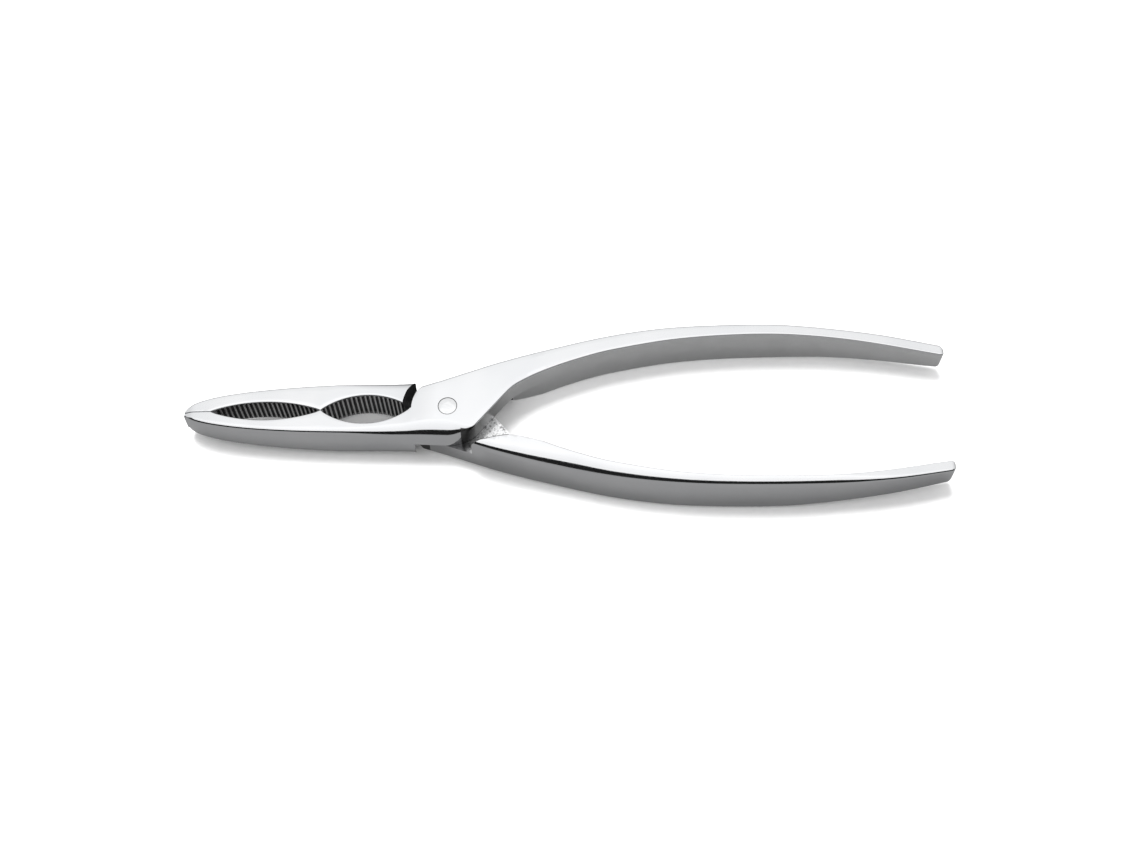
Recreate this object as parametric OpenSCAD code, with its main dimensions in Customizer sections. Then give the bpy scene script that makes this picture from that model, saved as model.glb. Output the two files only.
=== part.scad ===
// Plier-type nutcracker: two crossed levers of the same forged shape and the rivet that joins them.
// Origin: on the pivot axis, in the plane that the tool rests on. +X runs along the closed tool
// towards the handle ends, +Y towards the upper handle, +Z along the rivet. Millimetres.

/* [Reach] */
// Pivot axis to the upper handle's end
handle_reach = 124.3; // [120:0.1:130]
// How much shorter the lower handle is ground
lower_trim = 1.3; // [0:0.1:2]
// Pivot axis to the jaw tips
jaw_reach = 65; // [63:0.1:68]

/* [Thickness] */
// Thickness of the lap joint and of the handle bellies
lap_thickness = 12; // [10:0.1:14]
// Thickness of the jaws at their tips
tip_thickness = 7; // [5:0.1:8]
// Thickness of the handles at their ends
end_thickness = 6.2; // [5:0.1:9]

/* [Lap joint] */
// Radius of the plate's edge beside the other lever's jaw
plate_r = 8.9; // [8.7:0.1:9.4]
// Radius of the jaw shoulder that the other lever's plate turns inside
jaw_shoulder_r = 11.1; // [10.6:0.1:12]
// Gap between the two plates' faces
lap_gap = 0.1; // [0.05:0.01:0.2]

/* [Jaws] */
// Width of one closed jaw at half thickness, from the closing plane to its outer side
jaw_w = 6.9; // [6.6:0.1:7.2]
// Bluntness of the upper lever's jaw in plan: 2 is an ellipse, more is blunter
upper_nose = 2; // [1.8:0.1:3]
// Bluntness of the lower lever's jaw in plan
lower_nose = 2.5; // [1.8:0.1:3]
// Turn of the front biting faces, in degrees, towards the upper lever's side
front_turn = 0.8; // [0:0.1:1]
// Radius of the outer edges that are only broken, not rounded over
broken_edge = 0.9; // [0.5:0.1:1.2]
// Gap between the closed jaws where they meet
bite_gap = 0.1; // [0.05:0.01:0.2]
// Far end of the front cavity, measured from the pivot axis
front_far = 58.5; // [56:0.1:60]
// Cusp between the two cavities, measured from the pivot axis
cusp_at = 31.2; // [29:0.1:33]
// Depth of the front cavity in one jaw
front_depth = 2.4; // [1.5:0.1:3]
// Depth of the rear cavity in one jaw
rear_depth = 3.8; // [3:0.1:4.2]
// Spacing of the gripping teeth
tooth_pitch = 1.14; // [0.9:0.01:1.5]
// Depth of the grooves between the teeth
tooth_depth = 0.45; // [0.2:0.05:0.6]

/* [Rivet] */
// Diameter of the rivet's two flush heads
head_d = 4.5; // [4.3:0.1:5.5]
// Diameter of the rivet's shank
shank_d = 4; // [3:0.1:4.2]
// Depth of each head, its cone left out
head_depth = 0.6; // [0.4:0.1:1.2]
// Bevel round each head, which shows as a fine ring
head_bevel = 0.12; // [0.05:0.01:0.2]
// Radial clearance round the rivet in the lower lever
running_gap = 0.05; // [0.01:0.01:0.1]

/* [Hidden] */
steel = [0.80, 0.81, 0.82];
rivet_steel = [0.74, 0.75, 0.77];
mid_z = lap_thickness / 2;
beyond = 40;           // margin by which a cutter passes an outer side
side_steps = 9;        // facets across a side
round_share = 0.45;    // most of a lever's width that a rounded edge may take
over_share = 0.85;     // the same, for an edge that is rounded right over
lean_share = 0.2;      // most of a lever's width that its lean may take
end_r = 1.2;           // corner radius at the handle ends
jaw_round_at = -12;    // the outer side of a jaw is elliptical from here to the tip
shoulder_turn = 42;    // angle that the jaw shoulder covers
throat_at = [6.59, -5.53];    // where the plate's round edge turns into the straight throat
plate_w = 7.9;         // distance of the plate's edge from the pivot, beside the jaw's outer side
plate_side = 9.22;     // half length in plan of the plate's elliptical edge before the throat

// Plan curves of the handle at half thickness, and the half thickness of the whole lever
handle_inner = [throat_at, [11.2, 0], [15.6, 5.1], [19, 7.4], [24, 9.9], [31, 12.6], [40, 15.3],
                [58, 18.5], [80, 19.6], [100, 18.5], [handle_reach, 14.5]];
handle_outer = [[-9, 5.3], [-2, 7.4], [5, 9.8], [12, 12.2], [23, 15.3], [40, 19.3], [55, 21.4],
                [72, 22.2], [88, 22], [107, 20.4], [handle_reach, 17.4]];
half_height = [[-jaw_reach, tip_thickness / 2 - 0.9], [-62.5, tip_thickness / 2], [-45, 4.15],
               [-22, 4.85], [-13, 5.2], [-3, mid_z], [20, mid_z], [70, mid_z], [82, 5.85],
               [100, 4.7], [handle_reach, end_thickness / 2]];
// Radius of the edges that are rounded over: the jaw's top outer edge and the handle's bottom outer edge
jaw_over = [[-jaw_reach, 0.9], [-27, 1], [-12, 2.4], [0, 3.4], [throat_at.x, 0.3]];
handle_over = [[-9, 1], [8, 2], [13, 2.4], [28, 3.6], [48, 3.6], [70, 3.1], [88, 2.4], [104, 1],
               [handle_reach, 0.6]];
// Radius of the jaw's bottom outer edge
jaw_under = [[-27, broken_edge], [-14, 2.4], [-8, 3.3], [0, 3.3]];
// How far the outer sides lean in over half the thickness: the jaw's upwards, the handle's downwards
jaw_lean = [[-jaw_reach, 0.2], [-45, 0.4], [-27, 0.5], [-12, 0.5], [0, 1], [throat_at.x, 0]];
handle_lean = [[-9, 0], [8, 0.1], [28, 0.35], [48, 0.6], [70, 0.7], [88, 0.5], [104, 0.3],
               [handle_reach, 0.1]];
// Shoulder of the handle's full-thickness part, where the lap pocket ends
handle_shoulder = [[2, 10.9], [6.5, 9.9], [9, 9], [12, 8.3], [15.5, 7.9], [19, 8.5], [25, 10.2]];

// Smooth curve through points that are listed by rising x
function rise(p, i) = let (a = max(i - 1, 0), b = min(i + 1, len(p) - 1))
    (p[b].y - p[a].y) / (p[b].x - p[a].x);
function piece(p, x, i = 0) = (i >= len(p) - 2 || x < p[i + 1].x) ? i : piece(p, x, i + 1);
function through(p, x) = let (
        i = piece(p, x),
        w = p[i + 1].x - p[i].x,
        t = (x - p[i].x) / w)
    (2 * t * t * t - 3 * t * t + 1) * p[i].y
    + (t * t * t - 2 * t * t + t) * w * rise(p, i)
    + (3 * t * t - 2 * t * t * t) * p[i + 1].y
    + (t * t * t - t * t) * w * rise(p, i + 1);
function arc(r, from, to, steps) =
    [for (i = [0:steps]) let (a = from + (to - from) * i / steps) [r * cos(a), r * sin(a)]];

// How far a corner of radius r falls back at u past its start
function fall_back(r, u) = r - sqrt(max(r * r - pow(min(max(u, 0), r), 2), 0));
// Half thickness of the lever
function thickness_half(x) = min(through(half_height, x), mid_z);

// Half width of a jaw: an elliptical nose, then straight
function jaw_half(x, nose) = let (u = max((jaw_round_at - x) / (jaw_reach + jaw_round_at), 0))
    (jaw_w + (plate_w - jaw_w) * pow(max(1 + x / 27, 0), 1.5)) * pow(max(1 - pow(u, nose), 0.01), 1 / nose);
// Rounding of the corners at a handle's end
function end_trim(x, reach) = fall_back(end_r, x - reach + end_r);
// Half width at x of a round edge about the pivot
function round_edge(r, x) = sqrt(max(r * r - x * x, 0));

// Where the closed jaws meet at x, on the upper lever's side of it
function closing_line(x, turn) = max(-cusp_at - x, 0) * tan(turn) - bite_gap / 2;
// Width of the handle at x
function handle_width(x, reach) =
    through(handle_outer, x) - through(handle_inner, x) - 2 * end_trim(x, reach);

// The -Y side of the lever: a jaw's outer side, the plate's round edge, the throat, the handle's inner side
function low_side(x, reach, nose) = x < 0 ? -jaw_half(x, nose)
    : x < throat_at.x ? -plate_w * round_edge(1, x / plate_side)
    : through(handle_inner, x) + end_trim(x, reach);
// Radii of that side's bottom and top edges, and its lean
function low_edges(x, nose, turn) = let (w = x < 0 ? jaw_half(x, nose) + closing_line(x, turn) : plate_w)
    x >= throat_at.x ? [0, 0, 0]
    : [min(x < -27 ? broken_edge : through(jaw_under, min(x, 0)), (x < -27 ? round_share : over_share) * w),
        min(through(jaw_over, x), over_share * w), min(through(jaw_lean, x), 0.1 * w)];
// The +Y side: the closing plane, the plate's round edge, the handle's outer side
function high_side(x, reach, turn) = x < -plate_r ? closing_line(x, turn)
    : x < 0 ? min(round_edge(plate_r, x), through(handle_outer, x)) - bite_gap / 2
    : through(handle_outer, x) - end_trim(x, reach);
// Radii of that side's bottom and top edges, sharp where the plate turns inside the other jaw, and its lean
function high_edges(x, reach) = let (
        w = x < throat_at.x ? plate_r : handle_width(x, reach),
        lean = min(through(handle_lean, x), lean_share * w),
        inset = x < 0 ? min(round_edge(plate_r, x) - through(handle_outer, x), 0) : 0)
    x < -plate_r ? [0, 0, 0]
    : [max(min(through(handle_over, x), over_share * (w - lean)) + inset, 0),
        max(min(broken_edge, round_share * w) + inset, 0), -lean];

// One side of a cross-section, from its bottom edge to its top edge
function side(x, edge, shape, half, dir) = [for (i = [0:side_steps]) let (
        a = 180 * i / side_steps - 90,
        r = shape[a < 0 ? 0 : 1])
    [x, edge - dir * (fall_back(r, r - half * (1 - abs(sin(a)))) + shape[2] * sin(a)),
        mid_z + half * sin(a)]];
function section(x, reach, nose, turn) = let (
        half = thickness_half(x),
        up = side(x, high_side(x, reach, turn), high_edges(x, reach), half, 1))
    concat(side(x, low_side(x, reach, nose), low_edges(x, nose, turn), half, -1),
        [for (i = [len(up) - 1:-1:0]) up[i]]);

// Places of the cross-sections: closer at the tip, round the plate's edge and at the handle's end
function stations(reach) = concat(
    [for (i = [0:9]) -jaw_reach + (jaw_reach - cusp_at) * pow(i / 9, 1.6)],
    [for (i = [1:6]) -cusp_at + (cusp_at - plate_r) * i / 6],
    [for (a = [165:-10:105]) plate_r * cos(a)],
    [0, 1.8, 3.6, 5.2, throat_at.x, 9, 11.2, 13.4, 15.6, 18, 21, 24, 28],
    [for (x = [32:4:reach - 3]) x],
    [reach - end_r, reach - 0.35 * end_r, reach]);

// Closed skin over the cross-sections
module lever_skin(reach, nose, turn) {
    rings = [for (x = stations(reach)) section(x, reach, nose, turn)];
    n = len(rings[0]);
    last = len(rings) - 1;
    sides = [for (i = [0:last - 1], j = [0:n - 1]) let (k = (j + 1) % n)
        each [[i * n + j, i * n + n + j, i * n + k], [i * n + k, i * n + n + j, i * n + n + k]]];
    caps = [[for (j = [0:n - 1]) j], [for (j = [n - 1:-1:0]) last * n + j]];
    polyhedron([for (r = rings) each r], concat(sides, caps));
}

// Toothed cavity in one jaw: a circular arc from a to b along x, cut past the closing plane
module cavity(a, b, depth) {
    r = ((b - a) * (b - a) / 4 + depth * depth) / (2 * depth);
    half_sweep = asin((b - a) / 2 / r);
    teeth = round(r * half_sweep * PI / 90 / tooth_pitch);
    step = 2 * half_sweep / teeth;
    wall = [for (i = [0:teeth - 1], k = [0:3]) let (
            s = -half_sweep + step * (i + [0.05, 0.3, 0.5, 0.8][k]),
            d = r + [0, 0, tooth_depth, tooth_depth][k])
        [(a + b) / 2 + d * sin(s), r - depth - d * cos(s)]];
    translate([0, 0, -1]) linear_extrude(lap_thickness + 2)
        polygon(concat(wall, [[b - 0.3, 2], [a + 0.3, 2]]));
}

// Room that one lever leaves, over half its thickness, for the other lever's plate
module lap_pocket() {
    translate([0, 0, -1]) linear_extrude(mid_z + lap_gap / 2 + 1) polygon(concat(
        [[-jaw_shoulder_r * cos(shoulder_turn), -beyond]],
        arc(jaw_shoulder_r, 180 + shoulder_turn, 180, 8),
        [[-jaw_shoulder_r, beyond], [1.3, beyond]],
        [for (x = [2:1.15:25]) [x, through(handle_shoulder, x)]],
        [[25, 0], [10, -beyond]]));
}

// reach is the handle's length from the pivot axis, and turn that of the front biting face
module lever_body(reach, nose, turn) {
    difference() {
        lever_skin(reach, nose, turn);
        translate([-cusp_at, 0, 0]) rotate([0, 0, -turn]) translate([cusp_at, 0, 0])
            cavity(-front_far, -cusp_at, front_depth);
        cavity(-cusp_at, -plate_r - 0.2, rear_depth);
        lap_pocket();
    }
}

// Counterbore and cone for a rivet head whose flush face is at z = 0
module head_room(gap) {
    cone = (head_d - shank_d) / 2;
    rotate_extrude($fn = 48) polygon([[0, -1], [head_d / 2 + gap, -1], [head_d / 2 + gap, head_depth + gap],
        [shank_d / 2 + gap, head_depth + cone + gap], [0, head_depth + cone + gap]]);
}

module upper_lever() {
    color(steel) difference() {
        lever_body(handle_reach, upper_nose, front_turn);
        translate([0, 0, -1]) cylinder(h = lap_thickness + 2, d = shank_d, $fn = 48);
        translate([0, 0, lap_thickness]) mirror([0, 0, 1]) head_room(0);
    }
}

// The same forging, turned over about the long axis
module lower_lever() {
    color(steel) difference() {
        translate([0, 0, lap_thickness]) rotate([180, 0, 0])
            lever_body(handle_reach - lower_trim, lower_nose, -front_turn);
        translate([0, 0, -1]) cylinder(h = lap_thickness + 2, d = shank_d + 2 * running_gap, $fn = 48);
        head_room(running_gap);
    }
}

module pivot_rivet() {
    cone = (head_d - shank_d) / 2;
    half = [[head_d / 2 - head_bevel, 0], [head_d / 2, head_bevel], [head_d / 2, head_depth],
        [shank_d / 2, head_depth + cone]];
    color(rivet_steel) rotate_extrude($fn = 48) polygon(concat([[0, 0]], half,
        [for (i = [len(half) - 1:-1:0]) [half[i].x, lap_thickness - half[i].y]], [[0, lap_thickness]]));
}

upper_lever();
lower_lever();
pivot_rivet();
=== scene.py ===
import math

import bmesh
import bpy
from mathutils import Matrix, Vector


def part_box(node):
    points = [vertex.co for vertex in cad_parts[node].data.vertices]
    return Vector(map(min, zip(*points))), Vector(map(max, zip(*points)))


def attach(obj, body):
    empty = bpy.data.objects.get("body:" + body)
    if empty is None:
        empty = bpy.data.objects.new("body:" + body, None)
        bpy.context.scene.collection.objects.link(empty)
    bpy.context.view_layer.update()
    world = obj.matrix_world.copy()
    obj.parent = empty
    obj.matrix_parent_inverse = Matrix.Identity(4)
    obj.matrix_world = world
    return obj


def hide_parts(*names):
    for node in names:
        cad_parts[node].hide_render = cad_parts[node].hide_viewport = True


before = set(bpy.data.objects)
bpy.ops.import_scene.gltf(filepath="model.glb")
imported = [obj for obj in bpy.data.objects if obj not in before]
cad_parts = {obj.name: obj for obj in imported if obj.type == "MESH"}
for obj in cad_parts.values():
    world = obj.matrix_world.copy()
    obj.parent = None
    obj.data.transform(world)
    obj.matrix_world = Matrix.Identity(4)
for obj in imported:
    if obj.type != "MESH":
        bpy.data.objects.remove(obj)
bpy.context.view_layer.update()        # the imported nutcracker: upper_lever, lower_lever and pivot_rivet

# The frame is in metres, with the pivot axis on Z and the rest plane at z = 0. The shapes below are
# worked out in millimetres and scaled when their meshes are made.
MM = 0.001
upper_low, upper_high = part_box("upper_lever")
lower_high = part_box("lower_lever")[1]
rivet_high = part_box("pivot_rivet")[1]

# ---------------------------------------------------------------- driving dimensions, millimetres
JAW_REACH = -upper_low.x / MM
UPPER_REACH = upper_high.x / MM
LOWER_REACH = lower_high.x / MM
THICKNESS = rivet_high.z / MM
MID_Z = THICKNESS / 2
PLATE_R = 8.9            # plate's edge beside the other lever's jaw
JAW_SHOULDER_R = 11.1    # jaw shoulder that the other lever's plate turns inside
LAP_GAP = 0.1            # between the two plates' faces
BITE_GAP = 0.1           # between the closed jaws
JAW_W = 6.9              # width of one closed jaw at half thickness
PLATE_W = 7.9            # distance of the plate's edge from the pivot, beside the jaw's outer side
PLATE_SIDE = 9.22        # half length in plan of the plate's elliptical edge before the throat
THROAT = (6.59, -5.53)   # where the plate's round edge turns into the straight throat
JAW_ROUND_AT = -12       # the jaw's outer side is elliptical from here to the tip
JAW_FLARE = 27           # the jaw widens from JAW_W to PLATE_W over this stretch before the pivot
FLARE_POWER = 1.5        # how late in that stretch it widens
FRONT_FAR = 58.5         # far end of the front cavity
CUSP_AT = 31.2           # cusp between the two cavities
FRONT_DEPTH = 2.4
REAR_DEPTH = 3.8
REAR_SMOOTH = 1.9        # stretch of the rear cavity beside the plate that has no teeth
TOOTH_PITCH = 1.14
TOOTH_DEPTH = 0.45
TOOTHED_FROM = 0.35      # depth of a cavity where its teeth begin
GROOVE_RUN_OUT = 0.25    # height over which the grooves run out below a cavity's rim
MARKED_HOLLOW = 0.12     # depth of a cavity where its walls stop being polished
FRONT_TURN = 0.8         # turn of the front biting faces, degrees
END_R = 1.2              # corner radius at the handle ends
END_THIN = 0.8           # share of that rounding by which each face falls as well
UPPER_NOSE = 2.0         # bluntness of each jaw in plan
LOWER_NOSE = 2.5
FINE_EDGE = 0.14         # rounding of the edges that close on the other jaw
WALL_EDGE = 0.4          # rounding of the edges of the handles' inner walls
RIM_EDGE = 0.42          # rounding of the cavity rims
RIM_GROWTH = 0.6         # how fast a biting edge's rounding grows to a cavity rim's, by the cavity's depth
SHOULDER_EDGE = 0.2      # rounding of the lap shoulders
BROKEN_EDGE = 0.9        # radius of the outer edges that are broken, not rounded over
ROUND_SHARE = 0.45       # most of a lever's width that a broken edge may take
OVER_SHARE = 0.85        # the same, for an edge that is rounded right over
TIP_SHARE = 0.6          # the same, on a jaw's outer side
LEAN_SHARE = 0.2         # most of a handle's width that its lean may take
JAW_LEAN_SHARE = 0.1     # the same, for a jaw
RIM_SHARE = 0.15         # most of a jaw's width that the rounding of its biting edge may take
WALL_SHARE = 0.6         # most that an inner wall's edge may take of the width an outer edge leaves
SIDE_STEPS = 18          # faces in each quarter of a side
FACE_STEPS = 5           # faces across the top and the bottom
LAP_SHADE_FADE = (4, 8)       # painted shade on the lap faces gives way to bright steel over this stretch of x
PAINTED_SHADE_FROM = 3.5        # start of the satin faces beside the plate, where painted shade darkens the corner between the plate and the handle's inner wall
PAINTED_SHADE_FADE = (8, 15)    # the painted shade in the corner gives way to the handle's ground wall over this stretch of x
HANDLE_START = 24        # the cross-sections are spaced wider from here on
SATIN_DEPTH = 0.7 * WALL_EDGE    # depth below the edges where the inner walls are satin
PLATE_SATIN_TO = -5      # the plate's round edge is satin up to here
POCKET_SATIN_FROM = 15   # from here on the lap pocket's wall is ground with the handle's inner wall
HEAD_R = rivet_high.x / MM
RIVET_GROOVE = 0.07      # half the width of the fine ring round the rivet head

# The plan curves of the forging and its half thickness, by x
INNER = [THROAT, (11.2, 0), (15.6, 5.1), (19, 7.4), (24, 9.9), (31, 12.6), (40, 15.3), (58, 18.5),
         (80, 19.6), (100, 18.5), (UPPER_REACH, 14.5)]
OUTER = [(-9, 5.3), (-2, 7.4), (5, 9.8), (12, 12.2), (23, 15.3), (40, 19.3), (55, 21.4), (72, 22.2),
         (88, 22), (107, 20.4), (UPPER_REACH, 17.4)]
# Radius of the edges that are rounded over: the jaw's top outer edge, the handle's bottom outer edge
JAW_OVER = [(-JAW_REACH, 0.9), (-27, 1), (-12, 2.4), (0, 3.4), (THROAT[0], 0.3)]
HANDLE_OVER = [(-9, 1), (8, 2), (13, 2.4), (28, 3.6), (48, 3.6), (70, 3.1), (88, 2.4), (104, 1),
               (UPPER_REACH, 0.6)]
# Radius of the jaw's bottom outer edge
JAW_UNDER = [(-27, BROKEN_EDGE), (-14, 2.4), (-8, 3.3), (0, 3.3)]
# How far the outer sides lean in over half the thickness: the jaw's upwards, the handle's downwards
JAW_LEAN = [(-JAW_REACH, 0.2), (-45, 0.4), (-27, 0.5), (-12, 0.5), (0, 1), (THROAT[0], 0)]
HANDLE_LEAN = [(-9, 0), (8, 0.1), (28, 0.35), (48, 0.6), (70, 0.7), (88, 0.5), (104, 0.3),
               (UPPER_REACH, 0.1)]
HALF_HEIGHT = [(-JAW_REACH, 2.6), (-62.5, 3.5), (-45, 4.15), (-22, 4.85), (-13, 5.2), (-3, MID_Z),
               (20, MID_Z), (70, MID_Z), (82, 5.85), (100, 4.7), (UPPER_REACH, 3.1)]
# Plan curve of the lap pocket's edge along the handle
HANDLE_SHOULDER = [(2, 10.9), (6.5, 9.9), (9, 9), (12, 8.3), (15.5, 7.9), (19, 8.5), (25, 10.2)]
# The teeth's profile: share of one pitch, and share of the groove's depth there
TOOTH_PROFILE = [(0.0, 0), (0.13, 0), (0.25, 0), (0.38, 0), (0.5, 0.75), (0.58, 1), (0.69, 1), (0.8, 1),
                 (0.9, 0.7)]

CARD_TOP = 36            # height of the dark card as the object sees it, degrees

# Places of the materials in each lever's slots
POLISHED, SATIN, LAP, LAND, GROOVE, SHOULDER = range(6)


def rise(points, i):
    """Slope of the smooth curve at its point i."""
    a = max(i - 1, 0)
    b = min(i + 1, len(points) - 1)
    return (points[b][1] - points[a][1]) / (points[b][0] - points[a][0])


def through(points, x):
    """Smooth curve through points that are listed by rising x."""
    i = 0
    while i < len(points) - 2 and x >= points[i + 1][0]:
        i += 1
    w = points[i + 1][0] - points[i][0]
    t = (x - points[i][0]) / w
    return ((2 * t**3 - 3 * t**2 + 1) * points[i][1] + (t**3 - 2 * t**2 + t) * w * rise(points, i)
            + (3 * t**2 - 2 * t**3) * points[i + 1][1] + (t**3 - t**2) * w * rise(points, i + 1))


def half_height(x):
    """Half thickness of a lever."""
    return min(through(HALF_HEIGHT, x), MID_Z)


def smooth_step(t):
    """Eases from 0 to 1."""
    t = min(max(t, 0), 1)
    return t * t * (3 - 2 * t)


def round_edge(r, x):
    """Height of a circle of radius r at x."""
    return math.sqrt(max(r * r - x * x, 0))


def corner(r, u):
    """How far a corner of radius r falls back at u past its start."""
    return r - math.sqrt(max(r * r - min(max(u, 0), r) ** 2, 0))


class Cavity:
    """A toothed hollow in one jaw, a circular arc in plan from x = a to x = b."""

    def __init__(self, a, b, depth, smooth_end):
        self.a = a
        self.b = b
        self.centre = (a + b) / 2
        self.r = ((b - a) ** 2 / 4 + depth * depth) / (2 * depth)
        self.depth = depth
        sweep = math.asin((b - a) / 2 / self.r)
        count = round(2 * sweep * self.r / TOOTH_PITCH)
        self.stations = []
        for i in range(count):
            for part, share in TOOTH_PROFILE:
                x = self.centre + self.r * math.sin(sweep * (2 * (i + part) / count - 1))
                toothed = self.arc(x) > TOOTHED_FROM and x < b - smooth_end
                self.stations.append((x, TOOTH_DEPTH * share if toothed else 0.0))

    def arc(self, x):
        """Depth of the cavity at x."""
        if not self.a < x < self.b:
            return 0.0
        return max(math.sqrt(self.r**2 - (x - self.centre) ** 2) - self.r + self.depth, 0.0)


PLATE_FRONT = -PLATE_R - 0.2
CAVITIES = [Cavity(-FRONT_FAR, -CUSP_AT, FRONT_DEPTH, 0),
            Cavity(-CUSP_AT, PLATE_FRONT, REAR_DEPTH, REAR_SMOOTH)]


def hollow(x):
    """Depth of the cavities at x."""
    return sum(c.arc(x) for c in CAVITIES)


class Lever:
    """Cross-sections of one lever. Its plate is the upper one and its handle is on the +Y side."""

    def __init__(self, reach, nose, turn):
        self.reach = reach
        self.nose = nose
        self.turn = math.tan(math.radians(turn))

    def jaw_half(self, x):
        """Distance of the jaw's outer side from the long axis."""
        u = max((JAW_ROUND_AT - x) / (JAW_REACH + JAW_ROUND_AT), 0)
        widest = JAW_W + (PLATE_W - JAW_W) * max(1 + x / JAW_FLARE, 0) ** FLARE_POWER
        return widest * max(1 - u**self.nose, 0.01) ** (1 / self.nose)

    def closing_line(self, x):
        """Where the jaws meet at x: the front biting faces are turned a little."""
        return max(-CUSP_AT - x, 0) * self.turn

    def end_trim(self, x):
        """How far the rounding of the handle's end has cut back its sides at x."""
        return corner(END_R, x - self.reach + END_R)

    def half(self, x):
        """Half thickness at x, with the handle's end rounded."""
        return half_height(x) - END_THIN * self.end_trim(x)

    def low_side(self, x):
        """Plan edge, radii of the bottom and top edges, and lean of the -Y side."""
        if x < 0:
            edge = self.jaw_half(x)
            width = edge + self.closing_line(x)
        elif x < THROAT[0]:
            edge = PLATE_W * round_edge(1, x / PLATE_SIDE)
            width = PLATE_W
        else:
            edge = through(INNER, x) + self.end_trim(x)
            width = through(OUTER, x) - self.end_trim(x) - edge
            rounding = min(WALL_EDGE, WALL_SHARE * (1 - OVER_SHARE) * width)
            return edge, rounding, rounding, 0
        under = min(BROKEN_EDGE, ROUND_SHARE * width)
        if x > JAW_UNDER[0][0]:
            under = through(JAW_UNDER, min(x, 0))
        return (-edge, under, min(through(JAW_OVER, x), TIP_SHARE * width),
                min(through(JAW_LEAN, x), JAW_LEAN_SHARE * width))

    def high_side(self, x):
        """Plan edge, radii of the bottom and top edges, and lean of the +Y side."""
        if x < -PLATE_R:
            width = self.jaw_half(x) + self.closing_line(x)
            rounding = min(FINE_EDGE + RIM_GROWTH * hollow(x), RIM_EDGE, RIM_SHARE * width)
            return self.closing_line(x) - max(BITE_GAP / 2, hollow(x)), rounding, rounding, 0
        outer = through(OUTER, x)
        over = through(HANDLE_OVER, x)
        lean = through(HANDLE_LEAN, x)
        if x < 0:
            edge = round_edge(PLATE_R, x)
            inset = min(edge - outer, 0)
            return (min(edge, outer) - BITE_GAP / 2, max(over + inset, FINE_EDGE),
                    max(BROKEN_EDGE + inset, FINE_EDGE), -lean)
        outer -= self.end_trim(x)
        width = outer - self.low_side(x)[0]
        lean = min(lean, LEAN_SHARE * width)
        return (outer, min(over, OVER_SHARE * (width - lean)), min(BROKEN_EDGE, ROUND_SHARE * width),
                -lean)

    def side(self, edge, bottom_r, top_r, lean, half, groove, way):
        """Points (y, z) of one side from bottom to top. way is 1 where the side faces +Y."""
        points = []
        for i in range(-SIDE_STEPS, SIDE_STEPS + 1):
            a = math.pi / 2 * i / SIDE_STEPS
            below = half * (1 - abs(math.sin(a)))
            r = top_r if i > 0 else bottom_r
            cut_in = groove * smooth_step((below - RIM_EDGE) / GROOVE_RUN_OUT)
            back = corner(r, r - below) + lean * math.sin(a) + cut_in
            points.append((edge - way * back, MID_Z + half * math.sin(a)))
        return points

    def ring(self, x, groove):
        """Closed cross-section at x."""
        half = self.half(x)
        low = self.side(*self.low_side(x), half, 0, -1)
        high = self.side(*self.high_side(x), half, groove, 1)
        points = list(low)
        for i in range(1, FACE_STEPS):
            t = i / FACE_STEPS
            points.append((low[-1][0] * (1 - t) + high[-1][0] * t, MID_Z + half))
        points += reversed(high)
        for i in range(1, FACE_STEPS):
            t = i / FACE_STEPS
            points.append((high[0][0] * (1 - t) + low[0][0] * t, MID_Z - half))
        return [(x, y, z) for y, z in points]

    def stations(self):
        """Places (x, groove depth) of the cross-sections."""
        places = []
        nose_length = JAW_REACH + JAW_ROUND_AT
        nose_start = math.radians(88.5)
        nose_steps = 40
        for i in range(nose_steps):
            places.append((JAW_ROUND_AT - nose_length * math.sin(nose_start * (1 - i / nose_steps)), 0.0))
        places = [p for p in places if p[0] < -FRONT_FAR - 0.2]
        places.insert(0, (-JAW_REACH, 0.0))
        for cavity in CAVITIES:
            places += cavity.stations
        places += [(PLATE_FRONT, 0.0), (-PLATE_R - 0.01, 0.0)]
        places += [(PLATE_R * math.cos(math.radians(180 - 3 * i)), 0.0) for i in range(1, 29)]
        for start, end, steps in ((0, THROAT[0], 12), (THROAT[0], HANDLE_START, 44),
                                  (HANDLE_START, self.reach - END_R, 60)):
            places += [(start + (end - start) * i / steps, 0.0) for i in range(steps)]
        places += [(self.reach - END_R * (1 - math.sin(math.radians(10 * i))), 0.0) for i in range(9)]
        places.append((self.reach, 0.0))
        return places

    def faces(self, places, size):
        """Quads between neighbouring rings of size points, each with its material."""
        side_points = 2 * SIDE_STEPS + 1
        high_start = side_points + FACE_STEPS - 1
        quads = []
        for i in range(len(places) - 1):
            x = (places[i][0] + places[i + 1][0]) / 2
            half = self.half(x)
            grooved = places[i][1] > 0.01 or places[i + 1][1] > 0.01
            for j in range(size):
                k = (j + 1) % size
                material = POLISHED
                on_low = j < side_points - 1
                on_high = high_start <= j < high_start + side_points - 1
                step = j if on_low else j - high_start
                depth = half * (1 - abs(math.sin(math.pi / 2 * ((step + 0.5) / SIDE_STEPS - 1))))
                if on_low and x > PAINTED_SHADE_FROM and depth > SATIN_DEPTH:
                    material = SATIN
                if on_high and hollow(x) > MARKED_HOLLOW and depth > RIM_EDGE:
                    material = GROOVE if grooved else LAND
                if on_high and -PLATE_R < x < PLATE_SATIN_TO and depth > FINE_EDGE:
                    material = SATIN
                quad = (i * size + j, (i + 1) * size + j, (i + 1) * size + k, i * size + k)
                quads.append((quad, material))
        return quads

    def mesh(self, name):
        """The lever before its lap pocket and bore are cut."""
        places = self.stations()
        rings = [self.ring(x, groove) for x, groove in places]
        size = len(rings[0])
        quads = self.faces(places, size)
        last = (len(rings) - 1) * size
        quads.append((tuple(range(size)), POLISHED))
        quads.append((tuple(last + j for j in reversed(range(size))), POLISHED))
        return make_mesh(name, [p for r in rings for p in r], quads)


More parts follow.
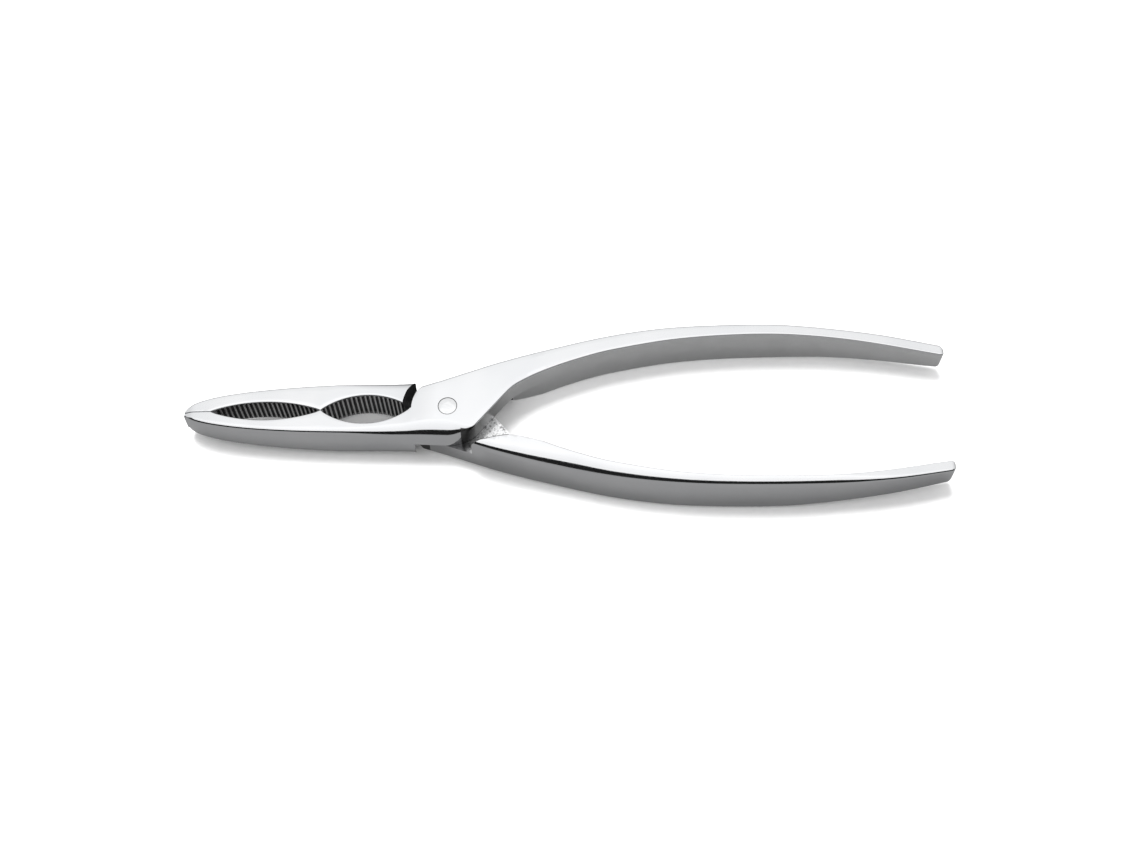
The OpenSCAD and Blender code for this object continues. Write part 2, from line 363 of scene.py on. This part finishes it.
def make_mesh(name, points, faces):
    """Mesh from points in mm and (corners, material) faces, with its normals outward."""
    mesh = bpy.data.meshes.new(name)
    mesh.from_pydata([Vector(p) * MM for p in points], [], [f for f, _ in faces])
    mesh.polygons.foreach_set("material_index", [m for _, m in faces])
    bm = bmesh.new()
    bm.from_mesh(mesh)
    bmesh.ops.recalc_face_normals(bm, faces=bm.faces)
    bm.to_mesh(mesh)
    bm.free()
    return mesh


def loft(name, rings, material, cap_material):
    """Closed mesh over stacked rings of equal length. material gives a side face's material by its x."""
    size = len(rings[0])
    faces = []
    for i in range(len(rings) - 1):
        for j in range(size):
            k = (j + 1) % size
            quad = (i * size + j, (i + 1) * size + j, (i + 1) * size + k, i * size + k)
            faces.append((quad, material(rings[i][j][0])))
    last = (len(rings) - 1) * size
    faces.append((tuple(range(size)), cap_material))
    faces.append((tuple(last + j for j in range(size)), cap_material))
    return make_mesh(name, [p for r in rings for p in r], faces)


def add(name, mesh):
    piece = bpy.data.objects.new(name, mesh)
    bpy.context.scene.collection.objects.link(piece)
    return piece


def lap_cutter():
    """Room for the other lever's plate, with flared lower edges that round the shoulders."""
    outline = []         # x, y and the way out of the cutter
    for i in range(29):
        a = math.radians(222 - 1.5 * i)
        outline.append((JAW_SHOULDER_R * math.cos(a), JAW_SHOULDER_R * math.sin(a), math.cos(a), math.sin(a)))
    clear = 40           # well outside the levers
    outline += [(-JAW_SHOULDER_R, clear, -1, 1), (1.3, clear, 0, 1)]
    shoulder_from = HANDLE_SHOULDER[0][0]
    shoulder_to = HANDLE_SHOULDER[-1][0]
    step = 0.5
    near = 0.1           # half the distance over which the shoulder's slope is taken
    for i in range(round((shoulder_to - shoulder_from) / step) + 1):
        x = shoulder_from + step * i
        slope = through(HANDLE_SHOULDER, x + near) - through(HANDLE_SHOULDER, x - near)
        across = math.hypot(slope, 2 * near)
        outline.append((x, through(HANDLE_SHOULDER, x), -slope / across, 2 * near / across))
    outline += [(shoulder_to, 0, 1, 0), (10, -clear, 1, -1), (outline[0][0], -clear, -1, -1)]
    rings = []
    edge = SHOULDER_EDGE
    for above, out in ((-1.5, 1.5 + edge), (0, edge), (0.12 * edge, 0.45 * edge), (0.45 * edge, 0.12 * edge),
                       (edge, 0), (None, 0)):
        ring = []
        for x, y, out_x, out_y in outline:
            face = MID_Z - half_height(x)
            z = MID_Z + LAP_GAP / 2 if above is None else face + above
            ring.append((x + out_x * out, y + out_y * out, z))
        rings.append(ring)
    return loft("lap_cutter", rings, lambda x: SATIN if x > POCKET_SATIN_FROM else SHOULDER, LAP)


def turned(name, profile, steps, material):
    """Closed solid of revolution about the pivot axis, from its lower end to its upper one."""
    turns = [2 * math.pi * i / steps for i in range(steps)]
    rings = [[(r * math.cos(a), r * math.sin(a), z) for a in turns] for r, z in profile]
    return loft(name, rings, lambda x: material, material)


def bore_cutter():
    """Room for the rivet, flared at both faces so that a fine ring shows round the head."""
    r = HEAD_R + RIVET_GROOVE / 2
    flare = RIVET_GROOVE
    return turned("bore_cutter", [(r + flare + 1, -1), (r + flare, 0), (r, flare), (r, THICKNESS - flare),
                                  (r + flare, THICKNESS), (r + flare + 1, THICKNESS + 1)], 96, SHOULDER)


def cut(piece, cutter_mesh):
    """Takes the cutter out of the piece. The cut faces keep the cutter's material."""
    cutter = add(cutter_mesh.name, cutter_mesh)
    for material in piece.data.materials:
        cutter_mesh.materials.append(material)
    boolean = piece.modifiers.new("cut", "BOOLEAN")
    boolean.operation = "DIFFERENCE"
    boolean.solver = "EXACT"
    boolean.material_mode = "INDEX"
    boolean.object = cutter
    result = bpy.data.meshes.new_from_object(piece.evaluated_get(bpy.context.evaluated_depsgraph_get()))
    piece.modifiers.remove(boolean)
    old = piece.data
    result.name = old.name
    piece.data = result
    bpy.data.meshes.remove(old)
    bpy.data.objects.remove(cutter)
    bpy.data.meshes.remove(cutter_mesh)


def finish_shading(piece):
    """Smooth faces, sharp where they meet at an angle."""
    mesh = piece.data
    mesh.polygons.foreach_set("use_smooth", [True] * len(mesh.polygons))
    mesh.set_sharp_from_angle(angle=math.radians(33))
    weighted = piece.modifiers.new("weighted_normals", "WEIGHTED_NORMAL")
    weighted.keep_sharp = True


# ---------------------------------------------------------------- materials

class Nodes:
    """Short way to write a node material."""

    def __init__(self, name):
        self.material = bpy.data.materials.new(name)
        self.material.use_nodes = True
        self.tree = self.material.node_tree
        self.shader = self.tree.nodes["Principled BSDF"]

    def node(self, kind, links=None, **values):
        node = self.tree.nodes.new(kind)
        for key, value in values.items():
            setattr(node, key, value)
        for socket, source in (links or {}).items():
            if hasattr(source, "is_output"):
                self.tree.links.new(source, node.inputs[socket])
            else:
                node.inputs[socket].default_value = source
        return node

    def noise(self, stretch, scale, detail=3.0):
        """Noise in object coordinates, stretched so that one unit is a metre over stretch."""
        where = self.node("ShaderNodeTexCoord").outputs["Object"]
        mapped = self.node("ShaderNodeMapping", {"Vector": where, "Scale": stretch}).outputs["Vector"]
        links = {"Vector": mapped, "Scale": scale, "Detail": detail}
        return self.node("ShaderNodeTexNoise", links).outputs["Fac"]

    def ramp(self, value, stops):
        """stops are (place, grey) or (place, (r, g, b))."""
        ramp = self.node("ShaderNodeValToRGB", {"Fac": value})
        elements = ramp.color_ramp.elements
        while len(elements) < len(stops):
            elements.new(0.5)
        for element, (place, colour) in zip(elements, stops):
            element.position = place
            rgb = colour if isinstance(colour, tuple) else (colour, colour, colour)
            element.color = (*rgb, 1)
        return ramp.outputs["Color"]

    def spread(self, value, low, high):
        """Moves a value of 0 to 1 into low to high."""
        links = {"Value": value, "To Min": low, "To Max": high}
        return self.node("ShaderNodeMapRange", links).outputs["Result"]

    def along(self, low, high, stretch):
        """Blend of two colours over a stretch of x, in mm."""
        where = self.node("ShaderNodeTexCoord").outputs["Object"]
        x = self.node("ShaderNodeSeparateXYZ", {"Vector": where}).outputs["X"]
        share = self.node("ShaderNodeMapRange", {"Value": x, "From Min": stretch[0] * MM,
                                                 "From Max": stretch[1] * MM}).outputs["Result"]
        blend = self.node("ShaderNodeMix", data_type="RGBA")
        for socket, source in ((0, share), (6, low), (7, high)):
            self.tree.links.new(source, blend.inputs[socket])
        return blend.outputs[2]

    def bump(self, height, distance, strength, under=None):
        links = {"Height": height, "Distance": distance, "Strength": strength}
        if under is not None:
            links["Normal"] = under
        return self.node("ShaderNodeBump", links).outputs["Normal"]

    def surface(self, colour, roughness, normal, metallic=1.0):
        self.shader.inputs["Metallic"].default_value = metallic
        for socket, source in (("Base Color", colour), ("Roughness", roughness), ("Normal", normal)):
            self.tree.links.new(source, self.shader.inputs[socket])
        return self.material


def polished_steel():
    """Mirror polish with faint lengthwise wheel marks and slow waves."""
    m = Nodes("polished_steel")
    marks = m.noise((30, 900, 900), 3.0, 4.0)
    waves = m.noise((1, 1, 1), 70.0, 2.0)
    colour = m.ramp(waves, [(0.3, (0.775, 0.785, 0.80)), (0.7, (0.83, 0.835, 0.845))])
    rough = m.spread(marks, 0.07, 0.15)
    fine = m.bump(marks, 0.00001, 0.25)
    return m.surface(colour, rough, m.bump(waves, 0.0003, 0.12, fine))


def satin_steel():
    """Belt-ground inner walls: a fine, slightly streaky grain, with painted shade, a near-black colour, in
    the corner beside the plate.
    """
    m = Nodes("satin_steel")
    grain = m.noise((120, 120, 900), 6.0, 4.0)
    cloud = m.noise((1, 1, 1), 220.0, 3.0)
    # painted shade: near-black colour standing in for the shade and dark reflection in the corner beside the
    # plate
    painted_corner_shade = m.ramp(cloud, [(0.3, (0.10, 0.10, 0.10)), (0.7, (0.14, 0.14, 0.14))])
    ground = m.ramp(cloud, [(0.3, (0.90, 0.905, 0.91)), (0.7, (0.96, 0.965, 0.97))])
    colour = m.along(painted_corner_shade, ground, PAINTED_SHADE_FADE)
    rough = m.spread(grain, 0.33, 0.46)
    return m.surface(colour, rough, m.bump(grain, 0.00002, 0.4))


def forged_floor():
    """Lap faces as forged: bright and uneven with dark specks, and with painted shade, a dark colour, round
    the pivot beside the other plate's wall.
    """
    m = Nodes("forged_floor")
    lumps = m.noise((1, 1, 1), 700.0, 4.0)
    specks = m.noise((1, 1, 1), 1900.0, 2.0)
    both = m.node("ShaderNodeMath", {0: lumps, 1: specks}, operation="MULTIPLY").outputs[0]
    bright = m.ramp(both, [(0.15, (0.30, 0.30, 0.305)), (0.21, (0.72, 0.725, 0.73)),
                           (0.3, (0.86, 0.865, 0.87))])
    # painted shade: dark colour round the pivot for the shade beside the other plate's wall
    painted_lap_shade = m.ramp(lumps, [(0.3, (0.05, 0.05, 0.052)), (0.7, (0.17, 0.17, 0.173))])
    colour = m.along(painted_lap_shade, bright, LAP_SHADE_FADE)
    rough = m.spread(specks, 0.12, 0.3)
    return m.surface(colour, rough, m.bump(lumps, 0.0001, 0.5))


def shoulder_painted_shade():
    """Upright shoulders of the lap joint and the ring round the rivet: painted shade, near-black steel with
    slightly lighter streaks.
    """
    m = Nodes("shoulder_painted_shade")
    streaks = m.noise((500, 500, 120), 3.0, 3.0)
    # painted shade: near-black colour for the shade in the lap joint's gaps and in the ring round the rivet
    colour = m.ramp(streaks, [(0.3, (0.008, 0.008, 0.008)), (0.7, (0.035, 0.035, 0.036))])
    return m.surface(colour, m.spread(streaks, 0.25, 0.45), m.bump(streaks, 0.00004, 0.5))


def tooth_land():
    """Tops of the gripping teeth, ground and a little dull."""
    m = Nodes("tooth_land")
    grain = m.noise((700, 700, 90), 6.0, 3.0)
    colour = m.ramp(grain, [(0.3, (0.78, 0.78, 0.785)), (0.7, (0.95, 0.95, 0.955))])
    return m.surface(colour, m.spread(grain, 0.3, 0.5), m.bump(grain, 0.00003, 0.5))


def tooth_groove():
    """Milled grooves, with painted shade: a dark colour for the shade in them."""
    m = Nodes("tooth_groove")
    grain = m.noise((700, 700, 90), 6.0, 3.0)
    # painted shade: dark colour standing in for the shade in the grooves
    colour = m.ramp(grain, [(0.3, (0.08, 0.08, 0.082)), (0.7, (0.19, 0.19, 0.192))])
    return m.surface(colour, m.spread(grain, 0.35, 0.6), m.bump(grain, 0.00005, 0.5))


def rivet_steel():
    """Rivet head, polished flush, with faint marks across it."""
    m = Nodes("rivet_steel")
    marks = m.noise((300, 900, 300), 4.0, 3.0)
    colour = m.ramp(marks, [(0.3, (0.77, 0.78, 0.79)), (0.7, (0.84, 0.845, 0.85))])
    return m.surface(colour, m.spread(marks, 0.07, 0.13), m.bump(marks, 0.00001, 0.08))


def floor_paper(name, grey, painted_glow):
    """Matt paper with a barely visible fibre, and painted light: an even glow by emission, though it is no
    lamp.
    """
    m = Nodes(name)
    fibre = m.noise((1, 1, 1), 500.0, 4.0)
    colour = m.ramp(fibre, [(0.3, grey * 0.98), (0.7, grey * 1.02)])
    m.shader.inputs["Specular IOR Level"].default_value = 0.0
    # painted light: the sheet glows evenly by its emission, which lightens it and the shadows on it
    m.shader.inputs["Emission Color"].default_value = (1, 1, 1, 1)
    m.shader.inputs["Emission Strength"].default_value = painted_glow
    return m.surface(colour, m.spread(fibre, 0.85, 1.0), m.bump(fibre, 0.00002, 0.2), 0.0)


def card_black():
    """Black felt."""
    m = Nodes("card_black")
    nap = m.noise((1, 1, 1), 800.0, 3.0)
    colour = m.ramp(nap, [(0.3, (0.012, 0.012, 0.012)), (0.7, (0.02, 0.02, 0.02))])
    m.shader.inputs["Specular IOR Level"].default_value = 0.0
    return m.surface(colour, m.spread(nap, 0.9, 1.0), m.bump(nap, 0.0001, 0.3), 0.0)


# ---------------------------------------------------------------- pieces

def lever_piece(name, lever, turned_over, steels):
    """One finished lever. turned_over puts it under the other one, about the long axis."""
    piece = add(name, lever.mesh(name))
    for material in steels:
        piece.data.materials.append(material)
    cut(piece, lap_cutter())
    cut(piece, bore_cutter())
    if turned_over:
        for vertex in piece.data.vertices:
            x, y, z = vertex.co
            vertex.co = (x, -y, THICKNESS * MM - z)
    finish_shading(piece)
    return piece


def rivet_piece():
    """The rivet, with slightly domed, bevelled heads just inside the levers' faces."""
    r = HEAD_R - RIVET_GROOVE / 2
    bevel = RIVET_GROOVE
    profile = [(0.02, 0.01), (r - 1.2, 0.012), (r - bevel, 0.03), (r - 0.3 * bevel, 0.03 + 0.3 * bevel),
               (r, 0.03 + bevel)]
    profile += [(radius, THICKNESS - z) for radius, z in reversed(profile)]
    piece = add("rivet", turned("rivet", profile, 96, 0))
    piece.data.materials.append(rivet_steel())
    finish_shading(piece)
    return piece


steels = [polished_steel(), satin_steel(), forged_floor(), tooth_land(), tooth_groove(), shoulder_painted_shade()]
upper = lever_piece("upper_lever_steel", Lever(UPPER_REACH, UPPER_NOSE, FRONT_TURN), False, steels)
lower = lever_piece("lower_lever_steel", Lever(LOWER_REACH, LOWER_NOSE, -FRONT_TURN), True, steels)
rivet = rivet_piece()

for piece, body, node, slot in ((upper, "upper_half", "upper_lever", "polished_steel"),
                                (lower, "lower_half", "lower_lever", "polished_steel"),
                                (rivet, "upper_half", "pivot_rivet", "rivet_steel")):
    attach(piece, body)
    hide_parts(node)

# ---------------------------------------------------------------- studio

def floor(name, material, z):
    """Round sheet under the object."""
    bm = bmesh.new()
    bmesh.ops.create_circle(bm, cap_ends=True, segments=96, radius=1.6)
    mesh = bpy.data.meshes.new(name)
    bm.to_mesh(mesh)
    bm.free()
    mesh.materials.append(material)
    piece = add(name, mesh)
    piece.location = (0.03, 0, z)
    return piece


def softbox(name, place, target, width, height, watts):
    """Rectangular lamp at place, aimed at target."""
    light = bpy.data.lights.new(name, "AREA")
    light.shape = "RECTANGLE"
    light.size = width
    light.size_y = height
    light.energy = watts
    lamp = add(name, light)
    lamp.location = place
    lamp.rotation_euler = (Vector(target) - Vector(place)).to_track_quat("-Z", "Y").to_euler()
    return lamp


def studio_world():
    """Pale room light, brighter overhead and in front than low at the back."""
    world = bpy.data.worlds.new("studio")
    world.use_nodes = True
    tree = world.node_tree
    tree.nodes.clear()
    where = tree.nodes.new("ShaderNodeTexCoord")
    split = tree.nodes.new("ShaderNodeSeparateXYZ")
    tree.links.new(where.outputs["Generated"], split.inputs[0])

    def by_height(stops):
        node = tree.nodes.new("ShaderNodeValToRGB")
        elements = node.color_ramp.elements
        while len(elements) < len(stops):
            elements.new(0.5)
        for element, (place, grey) in zip(elements, stops):
            element.position = place
            element.color = (grey, grey, grey, 1)
        tree.links.new(split.outputs["Z"], node.inputs["Fac"])
        return node.outputs["Color"]

    side = tree.nodes.new("ShaderNodeMapRange")
    side.inputs["From Min"].default_value = -0.3
    side.inputs["From Max"].default_value = 0.3
    tree.links.new(split.outputs["Y"], side.inputs["Value"])
    mix = tree.nodes.new("ShaderNodeMix")
    mix.data_type = "RGBA"
    tree.links.new(side.outputs["Result"], mix.inputs["Factor"])
    tree.links.new(by_height([(0.0, 0.8), (0.4, 1.0), (1.0, 1.15)]), mix.inputs["A"])
    tree.links.new(by_height([(0.0, 0.7), (0.5, 0.9), (0.84, 1.05), (0.9, 1.25)]), mix.inputs["B"])
    background = tree.nodes.new("ShaderNodeBackground")
    tree.links.new(mix.outputs["Result"], background.inputs["Color"])
    output = tree.nodes.new("ShaderNodeOutputWorld")
    tree.links.new(background.outputs["Background"], output.inputs["Surface"])
    bpy.context.scene.world = world


def dark_card():
    """Black card low in front of the object, which only the steel's reflections find."""
    near = 1.2           # distance of the card from the pivot, metres
    wide = 1.5           # half the angle it covers, radians
    bm = bmesh.new()
    columns = 12
    rows = []
    turns = [wide * (2 * i / columns - 1) for i in range(columns + 1)]
    for z in (0.0, near * math.tan(math.radians(CARD_TOP))):
        rows.append([bm.verts.new((near * math.sin(a), -near * math.cos(a), z)) for a in turns])
    for i in range(columns):
        bm.faces.new((rows[0][i], rows[0][i + 1], rows[1][i + 1], rows[1][i]))
    mesh = bpy.data.meshes.new("dark_card")
    bm.to_mesh(mesh)
    bm.free()
    mesh.materials.append(card_black())
    card = add("dark_card", mesh)
    card.visible_camera = False


def camera():
    """The view of the object from above and in front."""
    data = bpy.data.cameras.new("camera")
    data.sensor_width = 36
    data.lens = 44.98
    data.clip_start = 0.01
    data.clip_end = 20
    eye = add("camera", data)
    eye.location = (0.0279, -0.1657, 0.3179)
    eye.rotation_euler = (math.radians(27.52), 0, math.radians(-0.7))
    bpy.context.scene.camera = eye


paper = floor("floor", floor_paper("floor_paper", grey=0.9, painted_glow=0.05), -0.0001)
paper.visible_glossy = False
paper.visible_diffuse = False
paper.visible_shadow = False
table = floor("reflected_table", floor_paper("table_grey", grey=0.12, painted_glow=0.11), -0.0002)
table.visible_camera = False
dark_card()
key = softbox("key", place=(-0.12, 0.40, 1.0), target=(0.03, 0, 0), width=0.5, height=0.4, watts=16)
key.visible_glossy = False
studio_world()
camera()
bpy.context.scene.view_settings.view_transform = "Standard"
